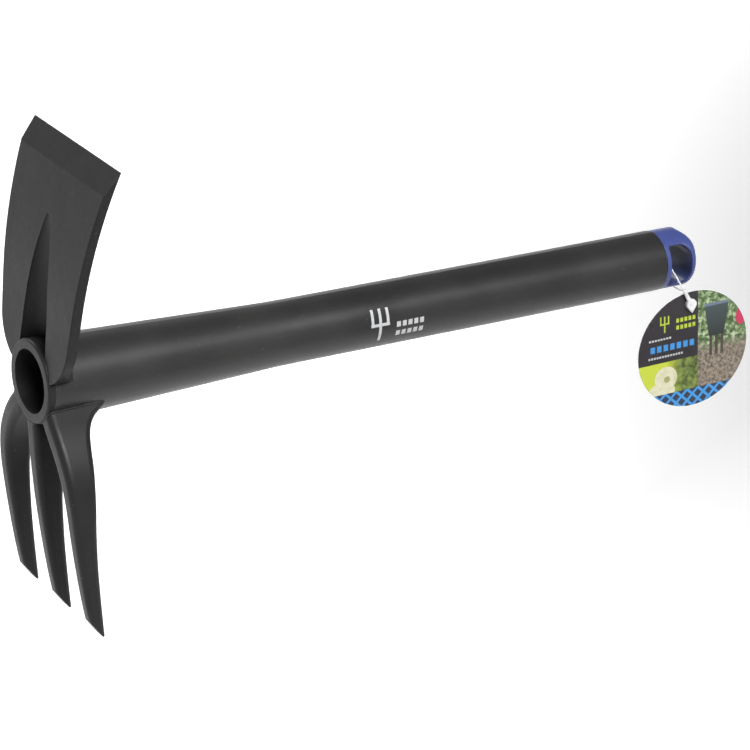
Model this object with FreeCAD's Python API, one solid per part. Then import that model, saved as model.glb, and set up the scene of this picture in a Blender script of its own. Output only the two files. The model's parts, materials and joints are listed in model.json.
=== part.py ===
import FreeCAD, Part
import math
import os

# Hand-held combination hoe: a blade and a three-tine fork on one eye, at the end of a short
# tubular handle with a plastic end cap, and a round card hanging from the cap.
# Millimetres. +X runs along the handle from the eye to the cap, +Z points to the blade's edge,
# the tines point to -Z. The origin is the eye's centre at its front face.

Vec = FreeCAD.Vector
X_AXIS = Vec(1, 0, 0)
Y_AXIS = Vec(0, 1, 0)
Z_AXIS = Vec(0, 0, 1)
ORIGIN = Vec(0, 0, 0)

# Handle
handle_length = 341.85      # front face of the eye to the end of the tube
grip_diameter = 30.0        # at the cap
grip_narrowing = 1.0        # the grip is this much wider where the taper ends
eye_diameter = 40.0
taper_length = 126.2        # from the eye's front face to the start of the grip
taper_blend_radius = 320.0
tube_wall = 1.5
tube_end_rounding = 0.5

# Eye collar at the front of the tube
bore_diameter = 30.4
collar_thickness = 4.7
collar_edge_rounding = 1.2
spigot_length = 8.0
spigot_clearance = 0.15
seam_depth = 0.9            # V groove round the seam of collar and tube, filled by the weld

# Blade
blade_height = 111.2        # cutting edge above the handle's axis
blade_edge_width = 85.7
blade_root_width = 62.0     # width that the straight sides point to at the handle's axis
blade_thickness = 4.4       # at the cutting edge's bevel
blade_root_thickness = 5.3  # where the blade starts to curve, and below
blade_lean = 0.092          # slope of the flat lower part
blade_flat_height = 40.0    # height at which the blade starts to curve
blade_bend_radius = 276.0
blade_root_height = 3.2     # lowest point of the rounded shoulders
blade_foot = -5.0           # the plate runs down to here before its shoulders are rounded
shoulder_radius = 24.0
bevel_height = 10.2
edge_land = 0.5
blade_edge_rounding = 0.6

# Groove pressed into the blade above the eye: height, depth and half width at each section
groove_sections = [
    (10.0, 9.4, 13.0),
    (30.0, 8.4, 11.8),
    (50.0, 5.4, 9.2),
    (66.0, 2.6, 6.0),
    (80.0, 0.4, 2.4),
]
groove_side_wall = 3.4
groove_back_overlap = 0.2
swelling_rise = 3.0         # the swelling behind the groove ends this much higher than the groove

# Tines: place of each section across and below the axis, front, back and width
tine_spacing = 34.5
tine_drop = 117.5
tine_loft_step = 6.5        # spacing of the sections that the tine's skin runs through
tine_sections = [
    # share of the spacing, below, front x, back x, width
    (0.330, 10.5, 0.5, 33.0, 10.4),
    (0.450, 15.0, 0.4, 26.0, 10.6),
    (0.600, 20.5, 0.3, 19.8, 10.6),
    (0.742, 26.8, 0.6, 17.6, 10.5),
    (0.887, 35.7, 1.2, 16.5, 10.2),
    (0.974, 46.5, 2.2, 15.8, 10.0),
    (1.000, 58.0, 3.5, 15.7, 9.7),
    (1.000, 78.0, 6.4, 16.5, 9.1),
    (1.000, 98.0, 9.9, 18.2, 8.4),
    (1.000, tine_drop, 14.1, 20.3, 7.6),
]
tine_corner_share = 0.33    # corner radius as a share of the tine's width
tine_bevel_height = 8.5
tine_bevel_slope = 0.76     # run back over rise of the ground tip, which starts on its front
tine_tip_land = 1.6

# Weld beads
bead = 0.6
bead_reach = 0.3            # share of a tine's length that the bead's loft covers
bead_setback = 0.4          # from the eye's front face
shoulder_weld_leg = 6.5
shoulder_weld_sag = 0.28    # how far the weld's hollow face stands off its corner
shoulder_weld_overlap = 2.0 # inside the eye and above its face, trimmed off
swelling_lap = 1.5          # the welds reach this far under the swelling's sides

# End cap
cap_step = 0.2              # how far the cap's side stands inside the grip's surface
cap_length = 18.8           # part of the cap beyond the tube
cap_end_radius = 8.6
cap_rim_rounding = 4.6
plug_clearance = 0.12
plug_length = 16.0
plug_wall = 1.9
hole_offset = 2.7           # from the end of the tube to the hanging hole
hole_length = 12.3
hole_height = 20.0
hole_near_radius = 1.2
hole_far_radius = 6.0
hole_edge_rounding = 0.7

# Hanging card and its plastic loop, placed from the end of the tube
card_diameter = 62.0
card_thickness = 0.45
card_gap = 2.3              # between the cap's side and the middle of the card at its pivot
card_turn = -4.6            # degrees about the vertical through the pivot
card_centre_offset = 15.9
card_centre_drop = 23.9     # from the pivot to the card's centre
pivot_offset = 13.15
pivot_drop = 5.0            # from the level of the cap's underside to the pivot
pivot_diameter = 2.2
pivot_clearance = 0.4
lock_gap = 0.25             # between the card and the lock, each side
lock_head_radius = 2.8
lock_head_length = 7.4
lock_head_thickness = 2.4
lock_head_shift = 1.2       # from the pivot to the centre of the head's round end
lock_tip_direction = Vec(0.12, 0, -1)
lock_edge_rounding = 0.6
stem_root = 0.5             # length of the stem inside the head and inside the button
button_diameter = 5.0
button_thickness = 0.7
neck_start_diameter = 1.9
neck_end_diameter = 2.2
neck_grip = 0.6             # length of the cord's ends inside the neck
cord_diameter = 0.8

# Middle line of the loop, from the lock's neck through the hanging hole and back under the
# cap, measured from the centre of the tube's end, for a cap of route_cap_diameter
route_cap_diameter = 29.6
cord_steps = [
    Vec(7.55, -18.75, -10.8),
    Vec(3.5, -13.0, -0.5),
    Vec(6.4, -0.6, 0.4),
    Vec(9.3, 9.8, -0.8),
    Vec(11.75, 16.6, -6.0),
    Vec(14.55, 13.4, -13.6),
    Vec(16.5, 5.6, -17.6),
    Vec(13.1, -7.2, -15.9),
    Vec(8.25, -18.35, -11.2),
]

grip_radius = grip_diameter / 2
grip_start_radius = (grip_diameter + grip_narrowing) / 2
eye_radius = eye_diameter / 2
bore_radius = bore_diameter / 2
cap_radius = grip_radius - cap_step
card_plane = -cap_radius - card_gap
pivot = Vec(handle_length + pivot_offset, card_plane, -cap_radius - pivot_drop)
route_width = 2 * cap_radius / route_cap_diameter
cord_route = [Vec(handle_length + p.x, p.y * route_width, p.z * route_width) for p in cord_steps]
taper_slope = (eye_radius - grip_start_radius) / taper_length
beyond = handle_length + blade_height   # longer than anything that is cut
close = 1e-4                            # lengths below this are nothing
margin = 0.1                            # slack for finding edges by their place


def unit(v):
    """The direction of v, leaving v as it is."""
    return v * (1.0 / v.Length)


def save(name, shape):
    """Write one node, and print its volume and number of solids."""
    shape = shape.removeSplitter()
    print(name, "volume", round(shape.Volume, 1), "solids", len(shape.Solids), "valid", shape.isValid())
    shape.exportStep(os.path.join("parts", name + ".step"))
    return shape


def rounded_edges(points, radii):
    """Straight runs through the points, joined by tangent arcs at the inner points."""
    edges = []
    start = points[0]
    for i in range(1, len(points) - 1):
        corner = points[i]
        back = unit(points[i - 1] - corner)
        ahead = unit(points[i + 1] - corner)
        half_turn = (math.pi - back.getAngle(ahead)) / 2
        reach = radii[i - 1] * math.tan(half_turn)
        rise = radii[i - 1] * (1 / math.cos(half_turn) - 1)
        arc_start = corner + back * reach
        arc_end = corner + ahead * reach
        if (arc_start - start).Length > close:
            edges.append(Part.LineSegment(start, arc_start).toShape())
        edges.append(Part.Arc(arc_start, corner + unit(back + ahead) * rise, arc_end).toShape())
        start = arc_end
    edges.append(Part.LineSegment(start, points[-1]).toShape())
    return edges


def closed_lines(points):
    """A closed wire of straight lines."""
    return Part.makePolygon(points + [points[0]])


def revolved(profile):
    """Turn a closed profile in the XZ plane about the handle's axis."""
    return Part.Face(profile).revolve(ORIGIN, X_AXIS, 360)


def taper_radius(x):
    """Outer radius of the tapered part of the handle."""
    return eye_radius - taper_slope * x


def eye_envelope(extra=0.0):
    """Solid outside shape of the eye and the tapered handle, grown by extra."""
    ends = [-eye_radius, taper_length]
    points = [Vec(ends[0], 0, 0)]
    points += [Vec(x, 0, taper_radius(x) + extra) for x in ends]
    points += [Vec(ends[1], 0, 0)]
    return revolved(closed_lines(points))


# Handle tube and eye collar

def handle_tube():
    """Tapered tube with a nearly straight grip, open at both ends."""
    def side(inset, start_x):
        start_r = taper_radius(start_x) - inset
        return [Vec(start_x, 0, start_r), Vec(taper_length, 0, grip_start_radius - inset),
                Vec(handle_length, 0, grip_radius - inset)]
    outer_points = side(0.0, collar_thickness + seam_depth)
    inner_points = side(tube_wall, collar_thickness)
    outer = rounded_edges(outer_points, [taper_blend_radius])
    inner = rounded_edges(inner_points, [taper_blend_radius])
    face_top = Vec(collar_thickness, 0, taper_radius(collar_thickness) - seam_depth)
    front = [Part.LineSegment(inner_points[0], face_top).toShape(),
             Part.LineSegment(face_top, outer_points[0]).toShape()]
    rear = [Part.LineSegment(outer_points[-1], inner_points[-1]).toShape()]
    profile = Part.Wire(Part.__sortEdges__(outer + inner + front + rear))
    tube = revolved(profile)
    rim = [e for e in tube.Edges if is_ring(e, handle_length, grip_radius)]
    return tube.makeFillet(tube_end_rounding, rim)


def is_ring(edge, x, radius):
    """True for a full circle of this radius about the handle's axis at this x."""
    if not isinstance(edge.Curve, Part.Circle):
        return False
    return abs(edge.Curve.Center.x - x) < margin and abs(edge.Curve.Radius - radius) < margin


def eye_collar():
    """Front ring of the eye, with a spigot that centres it in the tube."""
    inner_front = taper_radius(collar_thickness) - tube_wall - spigot_clearance
    spigot_end = collar_thickness + spigot_length
    inner_rear = taper_radius(spigot_end) - tube_wall - spigot_clearance
    points = [
        Vec(0, 0, bore_radius),
        Vec(0, 0, eye_radius),
        Vec(collar_thickness - seam_depth, 0, taper_radius(collar_thickness - seam_depth)),
        Vec(collar_thickness, 0, taper_radius(collar_thickness) - seam_depth),
        Vec(collar_thickness, 0, inner_front),
        Vec(spigot_end, 0, inner_rear),
        Vec(spigot_end, 0, bore_radius),
    ]
    ring = revolved(closed_lines(points))
    return ring.makeFillet(collar_edge_rounding, [e for e in ring.Edges if is_ring(e, 0, eye_radius)])


def collar_weld():
    """Flush bead that fills the V groove between collar and tube."""
    points = [
        Vec(collar_thickness - seam_depth, 0, taper_radius(collar_thickness - seam_depth)),
        Vec(collar_thickness + seam_depth, 0, taper_radius(collar_thickness + seam_depth)),
        Vec(collar_thickness, 0, taper_radius(collar_thickness) - seam_depth),
    ]
    return revolved(closed_lines(points))


# Blade

blade_lean_angle = math.atan(blade_lean)
bend_centre = Vec(blade_lean * blade_flat_height + blade_bend_radius * math.cos(blade_lean_angle), 0,
                  blade_flat_height - blade_bend_radius * math.sin(blade_lean_angle))


def blade_curve(z, depth=0.0):
    """Point of the blade at this height, depth behind its front face."""
    if z <= blade_flat_height:
        return Vec(blade_lean * z + depth / math.cos(blade_lean_angle), 0, z)
    radius = blade_bend_radius - depth
    turn = math.asin((z - bend_centre.z) / radius)
    return Vec(bend_centre.x - radius * math.cos(turn), 0, z)


def blade_arc(depth, low, high):
    """Arc edge of the curved upper part between two heights, depth behind the front."""
    middle = (low + high) / 2
    return Part.Arc(blade_curve(low, depth), blade_curve(middle, depth), blade_curve(high, depth)).toShape()


def blade_side_width(z):
    """Half the width between the blade's straight sides at this height."""
    share = z / blade_height
    return (blade_root_width + (blade_edge_width - blade_root_width) * share) / 2


def blade_outline():
    """Outline seen along the handle: straight sides on two rounded shoulders."""
    slope = (blade_edge_width - blade_root_width) / 2 / blade_height
    stretch = math.hypot(1, slope)
    centre_z = blade_root_height + shoulder_radius
    centre_y = blade_side_width(centre_z) - shoulder_radius * stretch
    side_end = Vec(0, centre_y + shoulder_radius / stretch, centre_z - shoulder_radius * slope / stretch)
    middle_angle = math.radians(-50)
    arc_middle = Vec(0, centre_y + shoulder_radius * math.cos(middle_angle),
                     centre_z + shoulder_radius * math.sin(middle_angle))
    low = Vec(0, centre_y, blade_root_height)
    top = Vec(0, blade_edge_width / 2, blade_height)
    edges = []
    for sign in (1, -1):
        a, b, c, d = [Vec(0, sign * p.y, p.z) for p in (low, arc_middle, side_end, top)]
        edges.append(Part.Arc(a, b, c).toShape())
        edges.append(Part.LineSegment(c, d).toShape())
    for p in (low, top):
        edges.append(Part.LineSegment(p, Vec(0, -p.y, p.z)).toShape())
    wire = Part.Wire(Part.__sortEdges__(edges))
    return Part.Face(wire).extrude(Vec(2 * beyond, 0, 0)).translated(Vec(-beyond, 0, 0))


def blade_side_profile():
    """Side view of the plate: lean, bend and the bevel ground on its front."""
    bend = blade_curve(blade_flat_height)
    bend_back = bend + (bend_centre - bend) * (blade_root_thickness / blade_bend_radius)
    bevel_start = blade_height - bevel_height
    tip = blade_curve(blade_height, blade_thickness)
    land = blade_curve(blade_height, blade_thickness - edge_land)
    front = blade_arc(0, blade_flat_height, bevel_start)
    mean_thickness = (blade_root_thickness + blade_thickness) / 2
    top_middle = blade_curve((bend_back.z + blade_height) / 2, mean_thickness)
    back = Part.Arc(bend_back, top_middle, tip).toShape()
    lines = [
        Part.LineSegment(blade_curve(blade_foot), bend).toShape(),
        Part.LineSegment(blade_curve(bevel_start), land).toShape(),
        Part.LineSegment(land, tip).toShape(),
        Part.LineSegment(bend_back, blade_curve(blade_foot, blade_root_thickness)).toShape(),
        Part.LineSegment(blade_curve(blade_foot, blade_root_thickness), blade_curve(blade_foot)).toShape(),
    ]
    return Part.Face(Part.Wire(Part.__sortEdges__([front, back] + lines)))


def across(face):
    """Extrude a face of the XZ plane to both sides."""
    return face.extrude(Vec(0, 2 * beyond, 0)).translated(Vec(0, -beyond, 0))


def groove_body(depth_extra=0.0, side_extra=0.0, top_extra=0.0):
    """Tapered half-round body of the groove, centred on the blade's front face."""
    wires = []
    for z, depth, half_width in groove_sections:
        last = z == groove_sections[-1][0]
        centre = blade_curve(z + (top_extra if last else 0))
        across_y = centre + Y_AXIS * (half_width + side_extra)
        along_x = centre + X_AXIS * (depth + depth_extra)
        wide = (across_y - centre).Length >= (along_x - centre).Length
        long_end, short_end = (across_y, along_x) if wide else (along_x, across_y)
        wires.append(Part.Wire([Part.Ellipse(long_end, short_end, centre).toShape()]))
    return Part.makeLoft(wires, True, False)


def behind_blade():
    """Everything behind the blade's front face."""
    foot = blade_curve(blade_foot)
    bend = blade_curve(blade_flat_height)
    bevel_start = blade_curve(blade_height - bevel_height)
    far_top = Vec(beyond, 0, blade_height)
    far_foot = Vec(beyond, 0, blade_foot)
    edges = [
        Part.LineSegment(foot, bend).toShape(),
        blade_arc(0, blade_flat_height, blade_height - bevel_height),
        Part.LineSegment(bevel_start, far_top).toShape(),
        Part.LineSegment(far_top, far_foot).toShape(),
        Part.LineSegment(far_foot, foot).toShape(),
    ]
    return across(Part.Face(Part.Wire(Part.__sortEdges__(edges))))


def hoe_blade():
    """Curved plate with rounded shoulders, ground edge and the pressed groove."""
    plate = across(blade_side_profile()).common(blade_outline())
    plate = plate.makeFillet(blade_edge_rounding, [e for e in plate.Edges if is_long_side(e)])
    swelling = groove_body(blade_root_thickness - groove_back_overlap, groove_side_wall, swelling_rise)
    return plate.fuse(swelling.common(behind_blade())).cut(groove_body()).cut(eye_envelope())


def is_long_side(edge):
    """True for the four long edges of the plate beside the cutting edge and shoulders."""
    box = edge.BoundBox
    runs_up = box.ZLength > bevel_height + blade_thickness and box.YLength < box.ZLength
    return runs_up and abs(edge.CenterOfMass.y) > blade_root_width / 3


def shoulder_weld():
    """Hollow-faced welds between the blade's back and the top of the handle, one each side."""
    start = blade_curve(blade_root_height, blade_root_thickness / 2).x
    back_x = blade_curve(eye_radius, blade_root_thickness).x
    end = back_x + shoulder_weld_leg
    top = eye_radius + shoulder_weld_leg + shoulder_weld_overlap
    foot = taper_radius(end) - shoulder_weld_overlap
    far = Vec(end, 0, taper_radius(end))
    hollow = Vec(back_x + shoulder_weld_sag * (end - back_x), 0,
                 far.z + shoulder_weld_sag * (top - far.z))
    edges = [
        Part.LineSegment(Vec(start, 0, foot), Vec(start, 0, top)).toShape(),
        Part.LineSegment(Vec(start, 0, top), Vec(back_x, 0, top)).toShape(),
        Part.Arc(Vec(back_x, 0, top), hollow, far).toShape(),
        Part.LineSegment(far, Vec(end, 0, foot)).toShape(),
        Part.LineSegment(Vec(end, 0, foot), Vec(start, 0, foot)).toShape(),
    ]
    weld = revolved(Part.Wire(Part.__sortEdges__(edges)))
    half_gap = groove_sections[0][2] + groove_side_wall - swelling_lap
    gap = Part.makeBox(2 * beyond, 2 * half_gap, 2 * beyond, Vec(-beyond, -half_gap, -beyond))
    return weld.common(blade_outline()).cut(gap).cut(eye_envelope()).cut(hoe_blade())


# Tines

def tine_section(centre, normal, front, back, width, corner):
    """Rounded rectangle across a tine: depth along X, width along the normal."""
    half_x = (back - front) / 2
    half_n = width / 2
    middle = centre + X_AXIS * ((front + back) / 2)

    def point(along_x, along_n):
        return middle + X_AXIS * along_x + normal * along_n
    arcs = []
    inset = corner * (1 - math.sqrt(0.5))
    for sx, sn in ((1, 1), (-1, 1), (-1, -1), (1, -1)):
        on_side = point(sx * half_x, sn * (half_n - corner))
        on_flat = point(sx * (half_x - corner), sn * half_n)
        bend = point(sx * (half_x - inset), sn * (half_n - inset))
        arcs.append((on_side, bend, on_flat) if sx * sn > 0 else (on_flat, bend, on_side))
    wire = []
    for arc, following in zip(arcs, arcs[1:] + arcs[:1]):
        wire.append(Part.Arc(*arc).toShape())
        wire.append(Part.LineSegment(arc[2], following[0]).toShape())
    return Part.Wire(wire)


def eased(keys, values, at):
    """Value at a place between the keys, on a smooth curve that doesn't overshoot."""
    steps = [(v1 - v0) / (k1 - k0) for k0, k1, v0, v1 in zip(keys, keys[1:], values, values[1:])]
    slopes = [steps[0]]
    for left, right in zip(steps, steps[1:]):
        slopes.append(2 * left * right / (left + right) if left * right > 0 else 0.0)
    slopes.append(steps[-1])
    i = max(j for j in range(len(steps)) if keys[j] <= at + close)
    gap = keys[i + 1] - keys[i]
    t = (at - keys[i]) / gap
    return (values[i] * (1 + 2 * t) * (1 - t) ** 2 + values[i + 1] * t * t * (3 - 2 * t)
            + slopes[i] * gap * t * (1 - t) ** 2 - slopes[i + 1] * gap * t * t * (1 - t))


def tine_body(side, grow=0.0, reach=1.0):
    """Loft of one tine: side is -1, 0 or 1, grow thickens it, reach is the share of its length."""
    places = [Vec(0, side * tine_spacing * s[0], -s[1]) for s in tine_sections]
    along = [0.0]
    for before, after in zip(places, places[1:]):
        along.append(along[-1] + (after - before).Length)
    columns = [[p.y for p in places], [p.z for p in places]]
    columns += [[s[k] for s in tine_sections] for k in (2, 3, 4)]
    count = round(along[-1] * reach / tine_loft_step)
    stations = [along[-1] * reach * i / count for i in range(count + 1)]
    rows = [[eased(along, column, at) for column in columns] for at in stations]
    wires = []
    for i, (y, z, front, back, width) in enumerate(rows):
        before = rows[max(i - 1, 0)]
        after = rows[min(i + 1, count)]
        tangent = unit(Vec(0, after[0] - before[0], after[1] - before[1]))
        full = width + 2 * grow
        wires.append(tine_section(Vec(0, y, z), tangent.cross(X_AXIS), front - grow, back + grow, full,
                                  tine_corner_share * full))
    return Part.makeLoft(wires, True, False)


def tine(side):
    """One tine, trimmed to the eye and ground to a chisel tip on its front."""
    tip_x = tine_sections[-1][3] - tine_tip_land
    past_tip = 2 * tine_bevel_height
    wedge = closed_lines([
        Vec(tip_x - tine_bevel_slope * past_tip, 0, past_tip - tine_drop),
        Vec(tip_x, 0, -tine_drop),
        Vec(tip_x, 0, -tine_drop - past_tip),
        Vec(tip_x - tine_bevel_slope * past_tip - tine_drop, 0, -tine_drop - past_tip),
    ])
    return tine_body(side).cut(eye_envelope()).cut(across(Part.Face(wedge)))


def tine_weld(side):
    """Bead round the foot of one tine, between the tine and the eye."""
    shell = eye_envelope(bead).cut(eye_envelope())
    behind_face = Part.makeBox(beyond, 2 * beyond, 2 * beyond, Vec(bead_setback, -beyond, -beyond))
    return tine_body(side, bead, bead_reach).common(shell).common(behind_face).cut(tine_body(side))


# End cap

def cap_outline(length, height, near_radius, far_radius, start):
    """Face in the XZ plane: a rectangle with its own corner radii near and far."""
    x0 = start
    x1 = start + length
    half = height / 2
    points = [Vec(x0, 0, 0), Vec(x0, 0, half), Vec(x1, 0, half), Vec(x1, 0, -half), Vec(x0, 0, -half),
              Vec(x0, 0, 0)]
    edges = rounded_edges(points, [near_radius, far_radius, far_radius, near_radius])
    return Part.Face(Part.Wire(Part.__sortEdges__(edges)))


def end_cap():
    """Rounded cap with a D-shaped hanging hole through it and a hollow plug."""
    barrel = Part.makeCylinder(cap_radius, cap_length, Vec(handle_length, 0, 0), X_AXIS)
    outline = cap_outline(cap_length + plug_length, 2 * (cap_radius + margin), cap_rim_rounding,
                          cap_end_radius, handle_length - plug_length)
    body = barrel.common(across(outline))
    end_edges = [e for e in body.Edges if e.BoundBox.XMin > handle_length + margin]
    body = body.makeFillet(cap_rim_rounding, end_edges)
    hole = cap_outline(hole_length, hole_height, hole_near_radius, hole_far_radius,
                       handle_length + hole_offset)
    body = body.cut(across(hole))
    mouth = [e for e in body.Edges if is_hole_mouth(e)]
    body = body.makeFillet(hole_edge_rounding, mouth)
    plug_radius = grip_radius - tube_wall - plug_clearance
    plug_start = Vec(handle_length - plug_length, 0, 0)
    plug = Part.makeCylinder(plug_radius, plug_length + plug_wall, plug_start, X_AXIS)
    hollow = Part.makeCylinder(plug_radius - plug_wall, plug_length, plug_start, X_AXIS)
    return body.fuse(plug).cut(hollow)


def is_hole_mouth(edge):
    """True for the edges where the hanging hole breaks out of the cap's round side."""
    box = edge.BoundBox
    inside = (box.XMin > handle_length + hole_offset - margin
              and box.XMax < handle_length + hole_offset + hole_length + margin
              and abs(box.ZMax) < hole_height / 2 + margin
              and abs(box.ZMin) < hole_height / 2 + margin)
    return inside and box.YLength < cap_radius and abs(edge.CenterOfMass.y) > cap_radius / 3


# Card, lock and loop

card_front = card_plane - card_thickness / 2
card_back = card_plane + card_thickness / 2


def turned(shape):
    """Turn a piece of the card with it, about the vertical through the pivot."""
    shape.rotate(pivot, Z_AXIS, card_turn)
    return shape


def disc(diameter, front, back, x=pivot.x, z=pivot.z):
    """Round plate between two places across the handle."""
    return Part.makeCylinder(diameter / 2, back - front, Vec(x, front, z), Y_AXIS)


def tag_card():
    """Round card with a punched hole near its top."""
    card = disc(card_diameter, card_front, card_back, handle_length + card_centre_offset, pivot.z - card_centre_drop)
    hole = disc(pivot_diameter + 2 * pivot_clearance, card_front - card_thickness, card_back + card_thickness)
    return turned(card.cut(hole))


def lock_head(round_centre):
    """Teardrop with a round end and a pointed one, its edges rounded."""
    down = unit(lock_tip_direction)
    tip = round_centre + down * (lock_head_length - lock_head_radius)
    angle = math.acos(lock_head_radius / (tip - round_centre).Length)
    bend = [round_centre + FreeCAD.Rotation(Y_AXIS, math.degrees(turn)).multVec(down) * lock_head_radius
            for turn in (angle, math.pi, -angle)]
    edges = [Part.Arc(*bend).toShape(), Part.LineSegment(bend[2], tip).toShape(),
             Part.LineSegment(tip, bend[0]).toShape()]
    head = Part.Face(Part.Wire(Part.__sortEdges__(edges))).extrude(Vec(0, lock_head_thickness, 0))
    return head.makeFillet(lock_edge_rounding, [e for e in head.Edges if e.BoundBox.YLength < close])


def tag_lock():
    """Teardrop lock in front of the card, with its neck, and a stem and button through it."""
    head_back = card_front - lock_gap
    button_front = card_back + lock_gap
    cord_ends = (cord_route[0] + cord_route[-1]) * 0.5
    towards_neck = unit(Vec(cord_ends.x - pivot.x, 0, cord_ends.z - pivot.z))
    round_centre = pivot + towards_neck * lock_head_shift
    round_centre.y = head_back - lock_head_thickness
    stem = disc(pivot_diameter, head_back - stem_root, button_front + stem_root)
    button = disc(button_diameter, button_front, button_front + button_thickness)
    body = turned(lock_head(round_centre).fuse([stem, button]))
    turn = FreeCAD.Rotation(Z_AXIS, card_turn)
    middle = round_centre + Y_AXIS * (lock_head_thickness / 2)
    neck_end = pivot + turn.multVec(middle - pivot)
    neck_start = cord_ends + unit(cord_ends - neck_end) * neck_grip
    run = neck_end - neck_start
    neck = Part.makeCone(neck_start_diameter / 2, neck_end_diameter / 2, run.Length, neck_start, run)
    return body.fuse(neck)


def cord_radii(points):
    """Radius of each bend: 0.45 of its shorter run over the tangent of half its turn."""
    radii = []
    for a, b, c in zip(points, points[1:], points[2:]):
        half_turn = (b - a).getAngle(c - b) / 2
        radii.append(0.45 * min((b - a).Length, (c - b).Length) / math.tan(half_turn))
    return radii


def tag_loop():
    """Plastic string: straight runs joined by tangent arcs, both ends in the lock's neck."""
    radii = cord_radii(cord_route)
    print("bend radii", [round(r, 1) for r in radii])
    path = Part.Wire(rounded_edges(cord_route, radii))
    start = path.Edges[0]
    circle = Part.Circle(cord_route[0], start.tangentAt(start.FirstParameter), cord_diameter / 2)
    loop = path.makePipeShell([Part.Wire([circle.toShape()])], True, True)
    section = math.pi * cord_diameter ** 2 / 4
    print("loop length", round(path.Length, 1), "section times length", round(section * path.Length, 1))
    return loop


os.makedirs("parts", exist_ok=True)
save("handle_tube", handle_tube())
save("eye_collar", eye_collar())
save("collar_weld", collar_weld())
save("hoe_blade", hoe_blade())
save("shoulder_weld", shoulder_weld())
for side, name in ((1, "tine_left"), (0, "tine_middle"), (-1, "tine_right")):
    save(name, tine(side))
save("tine_welds", Part.makeCompound([tine_weld(side) for side in (1, 0, -1)]))
save("end_cap", end_cap())
lock = tag_lock()
save("tag_loop", tag_loop().cut(lock))
save("tag_lock", lock)
save("tag_card", tag_card())
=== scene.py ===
"""Looks of the combination hoe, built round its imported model. Metres, in the model's own frame."""

import json
import math

import bmesh
import bpy
from mathutils import Matrix, Vector


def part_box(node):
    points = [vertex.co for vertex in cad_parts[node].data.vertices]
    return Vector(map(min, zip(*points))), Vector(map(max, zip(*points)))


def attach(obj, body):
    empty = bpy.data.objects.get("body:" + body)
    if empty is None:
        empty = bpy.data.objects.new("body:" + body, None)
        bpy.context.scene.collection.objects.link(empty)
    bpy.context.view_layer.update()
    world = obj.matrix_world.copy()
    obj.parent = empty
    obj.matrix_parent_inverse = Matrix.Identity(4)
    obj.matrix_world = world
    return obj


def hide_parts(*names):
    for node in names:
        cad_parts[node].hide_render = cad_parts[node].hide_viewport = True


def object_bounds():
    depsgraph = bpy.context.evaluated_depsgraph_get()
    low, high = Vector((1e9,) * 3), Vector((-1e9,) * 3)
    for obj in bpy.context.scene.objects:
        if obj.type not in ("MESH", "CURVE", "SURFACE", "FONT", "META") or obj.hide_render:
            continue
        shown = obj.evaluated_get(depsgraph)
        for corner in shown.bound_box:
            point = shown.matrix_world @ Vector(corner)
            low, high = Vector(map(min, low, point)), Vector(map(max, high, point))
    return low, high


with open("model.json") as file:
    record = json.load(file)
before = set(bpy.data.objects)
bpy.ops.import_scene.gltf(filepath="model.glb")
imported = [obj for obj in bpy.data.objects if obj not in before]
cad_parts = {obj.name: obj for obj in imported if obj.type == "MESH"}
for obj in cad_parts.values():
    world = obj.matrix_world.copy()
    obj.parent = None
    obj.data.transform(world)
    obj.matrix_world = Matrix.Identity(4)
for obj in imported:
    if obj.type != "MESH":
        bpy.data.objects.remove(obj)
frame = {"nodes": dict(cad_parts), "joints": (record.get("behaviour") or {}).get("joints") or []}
cad_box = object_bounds()
scene = bpy.context.scene
scene.view_settings.view_transform = "Standard"

MM = 0.001
tube_end = Vector((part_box("handle_tube")[1].x, 0, 0))
grip_start = 126.2 * MM             # the tube is a gentle taper from here to its end
grip_start_radius = 15.5 * MM
grip_end_radius = 15.0 * MM
cord_diameter = 0.8 * MM
card_half_thickness = 0.225 * MM
card_hole_radius = 1.5 * MM
card_turn = math.radians(-4.6)      # the card's turn about the vertical
print_turn = math.radians(3.5)      # the print's turn on the card
print_film = 0.04 * MM              # how far print stands off its surface

# Linear colours
ink_grey = (0.38, 0.38, 0.39)
ink_lime = (0.33, 0.40, 0.035)
ink_sky = (0.035, 0.19, 0.44)
ink_ash = (0.34, 0.35, 0.36)


# Camera and cord

def make_camera():
    """Long lens, a little above the tool and to the left of it."""
    azimuth, elevation, roll = (math.radians(a) for a in (-31.16, 22.93, 1.79))
    distance = 1.8764
    aim_right, aim_up = 0.1576, 0.0029
    back = Vector((math.sin(azimuth) * math.cos(elevation),
                   -math.cos(azimuth) * math.cos(elevation), math.sin(elevation)))
    level_right = Vector((0, 0, 1)).cross(back).normalized()
    level_up = back.cross(level_right)
    right = math.cos(roll) * level_right + math.sin(roll) * level_up
    up = math.cos(roll) * level_up - math.sin(roll) * level_right
    camera = bpy.data.objects.new("camera", bpy.data.cameras.new("camera"))
    scene.collection.objects.link(camera)
    camera.data.lens = 197.5
    camera.data.sensor_width = 36
    camera.data.clip_end = 100
    place = back * distance + right * aim_right + up * aim_up
    camera.matrix_world = Matrix.Translation(place) @ Matrix((right, up, back)).transposed().to_4x4()
    scene.camera = camera


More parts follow.
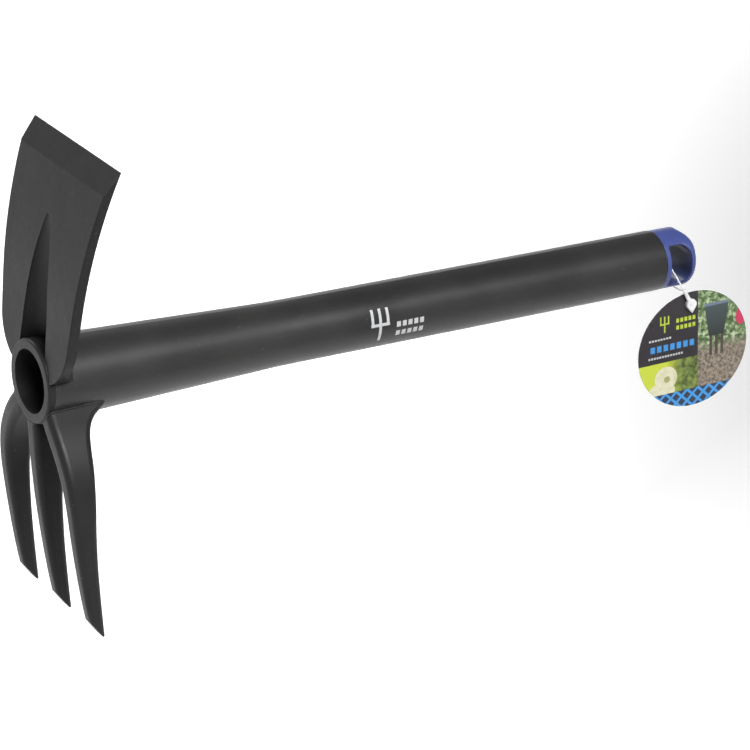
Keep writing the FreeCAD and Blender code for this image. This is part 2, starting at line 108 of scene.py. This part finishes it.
def make_cord():
    """White plastic string from the lock through the hanging hole and back."""
    route = [tube_end + Vector(step) * MM for step in (
        (7.55, -18.75, -10.8),
        (3.5, -13.0, -0.5),
        (6.4, -0.6, 0.4),
        (9.3, 9.8, -0.8),
        (11.75, 16.6, -6.0),
        (14.55, 13.4, -13.6),
        (16.5, 5.6, -17.6),
        (13.1, -7.2, -15.9),
        (8.25, -18.35, -11.2),
    )]
    line = bpy.data.curves.new("tag_string", "CURVE")
    line.dimensions = "3D"
    spline = line.splines.new("NURBS")
    spline.points.add(len(route) - 1)
    for point, place in zip(spline.points, route):
        point.co = (*place, 1)
        point.radius = cord_diameter / 2
    spline.order_u = 3
    spline.use_endpoint_u = True
    spline.resolution_u = 12
    line.bevel_depth = 1.0
    line.bevel_resolution = 6
    line.use_fill_caps = True
    string = bpy.data.objects.new("tag_string", line)
    scene.collection.objects.link(string)
    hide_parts("tag_loop")
    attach(string, "fastener")
    return string, route[0]


make_camera()
string, string_exit = make_cord()


# Stage

def area_light(name, place, aim, size, power, spread):
    """Soft rectangular light aimed at a point, its beam kept off the near floor."""
    data = bpy.data.lights.new(name, "AREA")
    data.shape = "RECTANGLE"
    data.size, data.size_y = size
    data.energy = power
    data.spread = math.radians(spread)
    light = bpy.data.objects.new(name, data)
    light.location = place
    light.rotation_euler = (Vector(aim) - Vector(place)).to_track_quat("-Z", "Y").to_euler()
    scene.collection.objects.link(light)


def glow(tree, coordinates, direction, ends, values):
    """Strength that changes evenly with how far a place, or a way to look, lies along a direction."""
    along = tree.nodes.new("ShaderNodeVectorMath")
    along.operation = "DOT_PRODUCT"
    tree.links.new(tree.nodes.new("ShaderNodeTexCoord").outputs[coordinates], along.inputs[0])
    along.inputs[1].default_value = direction
    share = tree.nodes.new("ShaderNodeMapRange")
    tree.links.new(along.outputs["Value"], share.inputs["Value"])
    for key, value in zip(("From Min", "From Max", "To Min", "To Max"), (*ends, *values)):
        share.inputs[key].default_value = value
    return share.outputs[0]


def make_stage():
    """Bright floor well below the tool that glows as painted light, a soft box beside the camera, one
    behind, and a dim room.
    """
    half = 8.0
    corners = [(-half, -half, 0), (half, -half, 0), (half, half, 0), (-half, half, 0)]
    mesh = bpy.data.meshes.new("floor")
    mesh.from_pydata(corners, [], [(0, 1, 2, 3)])
    floor = bpy.data.objects.new("floor", mesh)
    floor.location = (0, 0, cad_box[0].z - 0.25)
    scene.collection.objects.link(floor)
    glowing_paper = bpy.data.materials.new("glowing_floor_paper")
    glowing_paper.use_nodes = True
    shader = glowing_paper.node_tree.nodes["Principled BSDF"]
    shader.inputs["Base Color"].default_value = (0.9, 0.9, 0.9, 1)
    shader.inputs["Roughness"].default_value = 0.9
    # Painted light: the floor glows white, strongly beyond the tool, hardly at all beneath it and on the
    # camera's side, and faintly again far behind the camera
    shader.inputs["Emission Color"].default_value = (1, 1, 1, 1)
    away = (-0.5, 0.87, 0)      # the way the camera looks, level
    whole = glowing_paper.node_tree.nodes.new("ShaderNodeMath")
    whole.operation = "ADD"
    for i, (ends, values) in enumerate((((0.05, 0.5), (0.02, 0.92)), ((-2.0, -1.1), (0.45, 0.0)))):
        glowing_paper.node_tree.links.new(glow(glowing_paper.node_tree, "Object", away, ends, values), whole.inputs[i])
    glowing_paper.node_tree.links.new(whole.outputs[0], shader.inputs["Emission Strength"])
    mesh.materials.append(glowing_paper)
    world = bpy.data.worlds.new("room")
    world.use_nodes = True
    nodes, links = world.node_tree.nodes, world.node_tree.links
    backdrop = nodes.new("ShaderNodeMath")
    backdrop.operation = "MULTIPLY_ADD"
    links.new(glow(world.node_tree, "Generated", (0, 0, 1), (0.0, 0.42), (1.5, 0.0)), backdrop.inputs[0])
    links.new(glow(world.node_tree, "Generated", away, (-0.1, 0.5), (0.28, 1.0)), backdrop.inputs[1])
    backdrop.inputs[2].default_value = 0.09
    links.new(backdrop.outputs[0], nodes["Background"].inputs["Strength"])
    nodes["Background"].inputs["Color"].default_value = (1, 1, 1, 1)
    scene.world = world
    area_light("soft_box", (0.05, -1.7, 1.52), (0.15, 0, 0), (1.6, 0.72), 11, 45)
    area_light("back_box", (0.1, 1.5, 1.3), (0.15, 0, 0), (1.2, 0.5), 2.6, 50)


make_stage()


# Material helpers

class Nodes:
    """Small builder for one material's node tree."""

    def __init__(self, name, roughness, specular=0.5):
        self.material = bpy.data.materials.new(name)
        self.material.use_nodes = True
        self.tree = self.material.node_tree
        self.shader = self.tree.nodes["Principled BSDF"]
        self.shader.inputs["Roughness"].default_value = roughness
        self.shader.inputs["Specular IOR Level"].default_value = specular
        self.place = self.new("ShaderNodeTexCoord").outputs["Object"]

    def new(self, kind, **settings):
        node = self.tree.nodes.new(kind)
        for key, value in settings.items():
            setattr(node, key, value)
        return node

    def feed(self, socket, value):
        if isinstance(value, bpy.types.NodeSocket):
            self.tree.links.new(value, socket)
        else:
            socket.default_value = value

    def noise(self, scale, detail=3.0, roughness=0.5):
        node = self.new("ShaderNodeTexNoise")
        self.feed(node.inputs["Vector"], self.place)
        node.inputs["Scale"].default_value = scale
        node.inputs["Detail"].default_value = detail
        node.inputs["Roughness"].default_value = roughness
        return node.outputs["Fac"]

    def math(self, operation, *values):
        node = self.new("ShaderNodeMath", operation=operation)
        for socket, value in zip(node.inputs, values):
            self.feed(socket, value)
        return node.outputs[0]

    def span(self, value, low, high, to_low=0.0, to_high=1.0):
        node = self.new("ShaderNodeMapRange")
        for key, entry in (("Value", value), ("From Min", low), ("From Max", high),
                           ("To Min", to_low), ("To Max", to_high)):
            self.feed(node.inputs[key], entry)
        return node.outputs[0]

    def mix(self, share, first, second):
        node = self.new("ShaderNodeMix", data_type="RGBA")
        self.feed(node.inputs["Factor"], share)
        for socket, value in ((node.inputs[6], first), (node.inputs[7], second)):
            self.feed(socket, value if isinstance(value, bpy.types.NodeSocket) else (*value, 1))
        return node.outputs[2]

    def bump(self, height, distance, strength=1.0, before=None):
        node = self.new("ShaderNodeBump")
        node.inputs["Strength"].default_value = strength
        node.inputs["Distance"].default_value = distance
        self.feed(node.inputs["Height"], height)
        if before is not None:
            self.feed(node.inputs["Normal"], before)
        return node.outputs["Normal"]

    def edge(self, radius):
        """Near 1 on outer and inner edges, 0 on flats."""
        bevel = self.new("ShaderNodeBevel", samples=6)
        bevel.inputs["Radius"].default_value = radius
        dot = self.new("ShaderNodeVectorMath", operation="DOT_PRODUCT")
        self.feed(dot.inputs[0], bevel.outputs["Normal"])
        self.feed(dot.inputs[1], self.new("ShaderNodeNewGeometry").outputs["Normal"])
        return self.span(dot.outputs["Value"], 0.995, 0.85)

    def hollow(self, reach):
        """Near 1 deep in corners and hollows, 0 in the open."""
        shade = self.new("ShaderNodeAmbientOcclusion", samples=8)
        shade.inputs["Distance"].default_value = reach
        return self.span(shade.outputs["AO"], 0.85, 0.3)

    def finish(self, colour=None, roughness=None, normal=None):
        for key, value in (("Base Color", colour), ("Roughness", roughness), ("Normal", normal)):
            if value is not None:
                self.feed(self.shader.inputs[key], value)
        return self.material


def coated_steel(name, tone, forged):
    """Satin black powder coat: orange peel, cloudy sheen, specks of dust, rubbed edges, and painted shade
    in hollows.
    """
    specular = 0.2 if forged else 0.42
    n = Nodes(name, 0.36, specular)
    cloud = n.noise(28, 4)
    peel = n.noise(900, 2)
    speck = n.span(n.noise(520, 2, 0.7), 0.68, 0.76)
    worn = n.math("MULTIPLY", n.edge(0.5 * MM), n.span(n.noise(160, 4), 0.42, 0.62))
    dark, light = tone * 0.86, tone * 1.16
    colour = n.mix(n.span(cloud, 0.3, 0.7), (dark, dark, dark * 1.02), (light, light * 0.995, light * 0.97))
    colour = n.mix(n.math("MULTIPLY", speck, 0.35), colour, (0.10, 0.098, 0.092))
    colour = n.mix(n.math("MULTIPLY", worn, 0.5), colour, (0.085, 0.084, 0.082))
    # Painted shade: near black and less shiny deep in recesses, corners and seams
    hollow_shade = n.hollow(14 * MM)
    colour = n.mix(n.math("MULTIPLY", hollow_shade, 0.85), colour, (0.004, 0.004, 0.004))
    n.feed(n.shader.inputs["Specular IOR Level"], n.span(hollow_shade, 0.0, 1.0, specular, 0.2 * specular))
    dull, duller = (0.40, 0.50) if forged else (0.33, 0.41)
    sheen = n.math("ADD", n.span(cloud, 0.3, 0.7, dull, duller), n.span(peel, 0.3, 0.7, -0.03, 0.04))
    normal = n.bump(peel, 0.03 * MM, 0.55)
    if forged:
        normal = n.bump(n.noise(75, 3), 0.45 * MM, 0.5, normal)
    return n.finish(colour, sheen, normal)


def moulded_blue():
    """Moulded plastic: faint flow marks, fine spark-eroded grain, scuffed edges, and painted shade in
    hollows.
    """
    n = Nodes("moulded_blue", 0.36, 0.5)
    flow = n.noise(55, 4)
    grain = n.noise(1500, 2)
    scuff = n.math("MULTIPLY", n.edge(0.6 * MM), n.span(n.noise(240, 3), 0.4, 0.6))
    colour = n.mix(n.span(flow, 0.3, 0.7), (0.030, 0.043, 0.150), (0.038, 0.054, 0.180))
    colour = n.mix(n.math("MULTIPLY", scuff, 0.4), colour, (0.10, 0.13, 0.34))
    # Painted shade: darker and less shiny inside the hole and in corners
    hollow_shade = n.hollow(16 * MM)
    colour = n.mix(n.math("MULTIPLY", hollow_shade, 0.95), colour, (0.005, 0.007, 0.016))
    n.feed(n.shader.inputs["Specular IOR Level"], n.span(hollow_shade, 0.0, 1.0, 0.5, 0.1))
    return n.finish(colour, n.span(grain, 0.3, 0.7, 0.33, 0.43), n.bump(grain, 0.02 * MM, 0.6))


def milky_nylon():
    """Moulded nylon, milky, with drag marks along it."""
    n = Nodes("milky_nylon", 0.32, 0.5)
    n.shader.inputs["Subsurface Weight"].default_value = 0.15
    n.shader.inputs["Subsurface Radius"].default_value = (0.001, 0.001, 0.001)
    cloud = n.noise(420, 3)
    colour = n.mix(n.span(cloud, 0.3, 0.7), (0.44, 0.445, 0.46), (0.56, 0.56, 0.56))
    return n.finish(colour, n.span(cloud, 0.3, 0.7, 0.26, 0.4), n.bump(cloud, 0.05 * MM, 0.4))


def ink(name, colour):
    """Screen-printed ink, a little thin and uneven."""
    n = Nodes(name, 0.45, 0.4)
    thin = n.noise(1100, 3)
    faded = tuple(c * 0.8 for c in colour)
    return n.finish(n.mix(n.span(thin, 0.35, 0.65), faded, colour), n.span(thin, 0.3, 0.7, 0.4, 0.55),
                    n.bump(thin, 0.01 * MM, 0.5))


def printed_card():
    """Laminated card in its own plane: dark, lime, garden and lattice fields, plain on its back."""
    n = Nodes("printed_card", 0.3, 0.45)
    split = n.new("ShaderNodeSeparateXYZ")
    turn = n.new("ShaderNodeVectorRotate", rotation_type="Y_AXIS")
    n.feed(turn.inputs["Vector"], n.place)
    turn.inputs["Angle"].default_value = print_turn
    n.feed(split.inputs[0], turn.outputs[0])
    u, depth, v = split.outputs

    def above(value, limit):
        return n.math("GREATER_THAN", value, limit * MM)

    def below(value, limit):
        return n.math("LESS_THAN", value, limit * MM)

    def both(*masks):
        result = masks[0]
        for mask in masks[1:]:
            result = n.math("MULTIPLY", result, mask)
        return result

    def disc(cu, cv, radius, squash=1.0):
        du = n.math("SUBTRACT", u, cu * MM)
        dv = n.math("MULTIPLY", n.math("SUBTRACT", v, cv * MM), squash)
        square = n.math("ADD", n.math("MULTIPLY", du, du), n.math("MULTIPLY", dv, dv))
        return n.math("LESS_THAN", square, (radius * MM) ** 2)

    # Dark field with a slight vignette
    dark = n.mix(n.span(v, -5 * MM, 30 * MM), (0.015, 0.0125, 0.015), (0.023, 0.020, 0.023))

    # Lime field: bright at the left, leafy at the right, two pale round slices
    leaf = n.span(n.noise(260, 5, 0.6), 0.38, 0.62)
    leafy = n.mix(leaf, (0.024, 0.042, 0.010), (0.14, 0.18, 0.04))
    lime = n.mix(n.span(u, -15 * MM, -7 * MM), (0.33, 0.38, 0.034), leafy)
    pale = n.mix(n.span(n.noise(300, 3), 0.3, 0.7), (0.36, 0.35, 0.23), (0.46, 0.45, 0.33))
    lime = n.mix(disc(-17.6, -20.0, 7.6, 1.5), lime, pale)
    lime = n.mix(disc(-15.2, -13.2, 6.4), lime, n.mix(disc(-14.6, -13.8, 1.7), pale, (0.22, 0.22, 0.09)))
    panel = n.mix(below(v, -4.2), dark, lime)

    # Garden field: leaves and light above, soil below, a dark blade standing in it
    blotch = n.new("ShaderNodeTexVoronoi", feature="F1")
    blotch.inputs["Scale"].default_value = 420
    n.feed(blotch.inputs["Vector"], n.place)
    glint = n.span(n.noise(360, 5, 0.65), 0.47, 0.60)
    foliage = n.mix(glint, (0.024, 0.038, 0.017), (0.36, 0.42, 0.27))
    foliage = n.mix(n.span(blotch.outputs["Distance"], 0.2, 0.7, 0.0, 0.5), foliage, (0.09, 0.16, 0.05))
    crumbs = n.span(n.noise(560, 6, 0.8), 0.38, 0.62)
    soil = n.mix(crumbs, (0.040, 0.031, 0.024), (0.25, 0.21, 0.165))
    line = n.math("ADD", v, n.span(n.noise(110, 3), 0.0, 1.0, -7 * MM, 7 * MM))
    garden = n.mix(n.span(line, -4 * MM, 3 * MM), soil, foliage)
    garden = n.mix(disc(27.5, 12.0, 2.8, 0.6), garden, (0.34, 0.03, 0.07))
    narrowing = n.math("MULTIPLY", n.math("SUBTRACT", 23 * MM, v), 0.16)
    half_width = n.math("SUBTRACT", 7.2 * MM, narrowing)
    aside = n.math("ABSOLUTE", n.math("SUBTRACT", u, 13.6 * MM))
    inside = n.math("LESS_THAN", aside, half_width)
    slate = n.mix(n.span(v, 4 * MM, 22 * MM), (0.018, 0.021, 0.021), (0.040, 0.055, 0.057))
    prongs = n.math("LESS_THAN", n.math("PINGPONG", n.math("ADD", aside, 1.6 * MM), 1.6 * MM), 0.8 * MM)
    prongs = both(n.math("LESS_THAN", aside, 4.2 * MM), n.math("SUBTRACT", 1.0, prongs))
    garden = n.mix(both(prongs, above(v, -6.0), below(v, 5.0)), garden, (0.045, 0.034, 0.030))
    garden = n.mix(both(inside, above(v, 4.5), below(v, 22.5)), garden, slate)
    rim = both(inside, above(v, 21.0), below(v, 22.5))
    garden = n.mix(rim, garden, (0.10, 0.125, 0.17))
    panel = n.mix(above(u, 3.0), panel, garden)

    # Lattice field: crossing bright lines on dark
    pitch = 6.2 * MM
    lines = []
    for sign in (1, -1):
        slant = n.math("ADD", u, n.math("MULTIPLY", v, sign))
        wave = n.math("PINGPONG", slant, pitch / 2)
        lines.append(n.math("LESS_THAN", wave, pitch * 0.15))
    lattice = n.mix(n.math("MAXIMUM", *lines), (0.020, 0.026, 0.045), ink_sky)
    panel = n.mix(below(v, -21.7), panel, lattice)

    # Printed on the front only, a white core on the cut edge, pale grey back
    back_tone = n.mix(n.span(n.noise(200, 3), 0.3, 0.7), (0.56, 0.56, 0.55), (0.66, 0.66, 0.64))
    colour = n.mix(n.math("GREATER_THAN", depth, -0.16 * MM), panel, back_tone)
    film = n.noise(45, 2)
    return n.finish(colour, n.span(film, 0.3, 0.7, 0.26, 0.38), n.bump(film, 0.2 * MM, 0.25))


black_tube = coated_steel("black_coat_tube", 0.0145, False)
black_forged = coated_steel("black_coat_forged", 0.0115, True)
blue = moulded_blue()
nylon = milky_nylon()
for node, material in (
    ("handle_tube", black_tube), ("collar_weld", black_tube), ("eye_collar", black_forged),
    ("hoe_blade", black_forged), ("shoulder_weld", black_forged), ("tine_left", black_forged),
    ("tine_middle", black_forged), ("tine_right", black_forged), ("tine_welds", black_forged),
    ("end_cap", blue), ("tag_lock", nylon),
):
    data = frame["nodes"][node].data
    data.materials.clear()
    data.materials.append(material)
string.data.materials.append(nylon)


# Card and print

def link_mesh(name, bm, material):
    """Put a finished bmesh in the scene as a piece."""
    bmesh.ops.recalc_face_normals(bm, faces=bm.faces)
    mesh = bpy.data.meshes.new(name)
    bm.to_mesh(mesh)
    bm.free()
    mesh.materials.append(material)
    piece = bpy.data.objects.new(name, mesh)
    scene.collection.objects.link(piece)
    return piece


def card_place():
    """Centre and radius of the card, and the turn that lays X along its face."""
    low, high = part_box("tag_card")
    centre = (low + high) / 2
    radius = (high.z - low.z) / 2
    return centre, radius, Matrix.Translation(centre) @ Matrix.Rotation(card_turn, 4, "Z")


def make_card():
    """Round card with a pressed, slightly rounded rim and a punched hole."""
    centre, radius, place = card_place()
    pivot = Vector(next(j for j in frame["joints"] if j["name"] == "card_swing")["pos_m"])
    hole_centre = place.inverted() @ pivot
    half = card_half_thickness
    round_over = 0.12 * MM
    steps, rings = 144, 10
    profile = [(0, half - round_over), (0.3 * round_over, half - 0.3 * round_over), (round_over, half)]
    loops = [(inset, depth, 0.0) for inset, depth in profile]
    loops += [(None, half, (i + 1) / (rings + 1)) for i in range(rings)]
    loops += [(None, half, 1.0)]
    bm = bmesh.new()

    def ring(y_sign, inset, depth, share):
        row = []
        for k in range(steps):
            angle = 2 * math.pi * k / steps
            ray = Vector((math.cos(angle), 0, math.sin(angle)))
            outer = ray * (radius - (round_over if inset is None else inset))
            inner = Vector((hole_centre.x, 0, hole_centre.z)) + ray * card_hole_radius
            point = outer.lerp(inner, share)
            point.y = y_sign * depth
            row.append(bm.verts.new(point))
        return row

    front = [ring(-1, *entry) for entry in loops]
    back = [ring(1, *entry) for entry in loops]
    rows = list(reversed(front)) + back + [front[-1]]
    for a, b in zip(rows, rows[1:]):
        for k in range(steps):
            bm.faces.new((a[k], a[(k + 1) % steps], b[(k + 1) % steps], b[k]))
    piece = link_mesh("hang_card", bm, printed_card())
    piece.matrix_world = place
    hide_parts("tag_card")
    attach(piece, "card")
    return place


def printed_bars(name, bars, surface, material, step):
    """Thin raised print: each bar is (u, v, width, height), laid on a surface function."""
    bm = bmesh.new()
    for u0, v0, width, height in bars:
        columns = max(1, round(width / step))
        rows = max(1, round(height / step))
        layers = []
        for film in (0.0, print_film):
            grid = []
            for j in range(rows + 1):
                v = v0 + height * (j / rows - 0.5)
                grid.append([bm.verts.new(surface(u0 + width * (i / columns - 0.5), v, film))
                             for i in range(columns + 1)])
            layers.append(grid)
        low, high = layers
        for grid in layers:
            for j in range(rows):
                for i in range(columns):
                    bm.faces.new((grid[j][i], grid[j][i + 1], grid[j + 1][i + 1], grid[j + 1][i]))
        rim = [(0, i) for i in range(columns)] + [(j, columns) for j in range(rows)]
        rim += [(rows, columns - i) for i in range(columns)] + [(rows - j, 0) for j in range(rows)]
        for (j0, i0), (j1, i1) in zip(rim, rim[1:] + rim[:1]):
            bm.faces.new((low[j0][i0], low[j1][i1], high[j1][i1], high[j0][i0]))
    return link_mesh(name, bm, material)


def fork_sign(u, v, size):
    """Plain pictogram of a three-pronged fork, from five bars."""
    stroke = 0.085 * size
    bars = [(u, v - 0.25 * size, stroke, 0.5 * size), (u, v, 0.6 * size, stroke)]
    bars += [(u + k * 0.245 * size, v + 0.25 * size, stroke, 0.5 * size - stroke) for k in (-1, 0, 1)]
    return bars


def blocks(u, v, width, height, count):
    """Row of plain blocks, evenly spaced."""
    pitch = width / count
    return [(u + (i - (count - 1) / 2) * pitch, v, 0.68 * pitch, height) for i in range(count)]


def make_card_print(place):
    """Sign and rows of plain blocks on the card's dark field."""
    turn = Matrix.Rotation(-print_turn, 4, "Y")

    def surface(u, v, film):
        return turn @ Vector((u * MM, -card_half_thickness - film, v * MM))
    bars = {
        "card_sign": (fork_sign(-16.0, 16.5, 9.0), ink_lime),
        "card_heading": (blocks(-4.0, 17.0, 11.6, 2.2, 5) + blocks(-4.0, 13.2, 11.6, 2.2, 5), ink_lime),
        "card_title": (blocks(-11.6, 3.6, 26.0, 3.4, 7), ink_sky),
        "card_notes": (blocks(-18.6, 8.6, 13.0, 1.1, 8) + blocks(-15.4, -1.0, 20.0, 1.1, 13), ink_ash),
    }
    for name, (shapes, colour) in bars.items():
        piece = printed_bars(name, shapes, surface, ink(name + "_ink", colour), 3.0)
        piece.matrix_world = place
        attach(piece, "card")


def make_handle_print():
    """Sign and two rows of plain blocks on the side of the grip that faces the card."""
    def surface(u, v, film):
        x = u * MM
        share = (x - grip_start) / (tube_end.x - grip_start)
        radius = grip_start_radius + (grip_end_radius - grip_start_radius) * share + film
        angle = v * MM / grip_end_radius
        return Vector((x, -radius * math.cos(angle), radius * math.sin(angle)))
    shapes = fork_sign(177.0, 1.0, 17.0)
    shapes += blocks(193.5, -0.2, 16.0, 2.7, 5) + blocks(193.5, -4.9, 16.0, 2.7, 5)
    piece = printed_bars("handle_sign", shapes, surface, ink("handle_ink", ink_grey), 0.7)
    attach(piece, "hoe")


make_card_print(make_card())
make_handle_print()

bpy.context.view_layer.update()
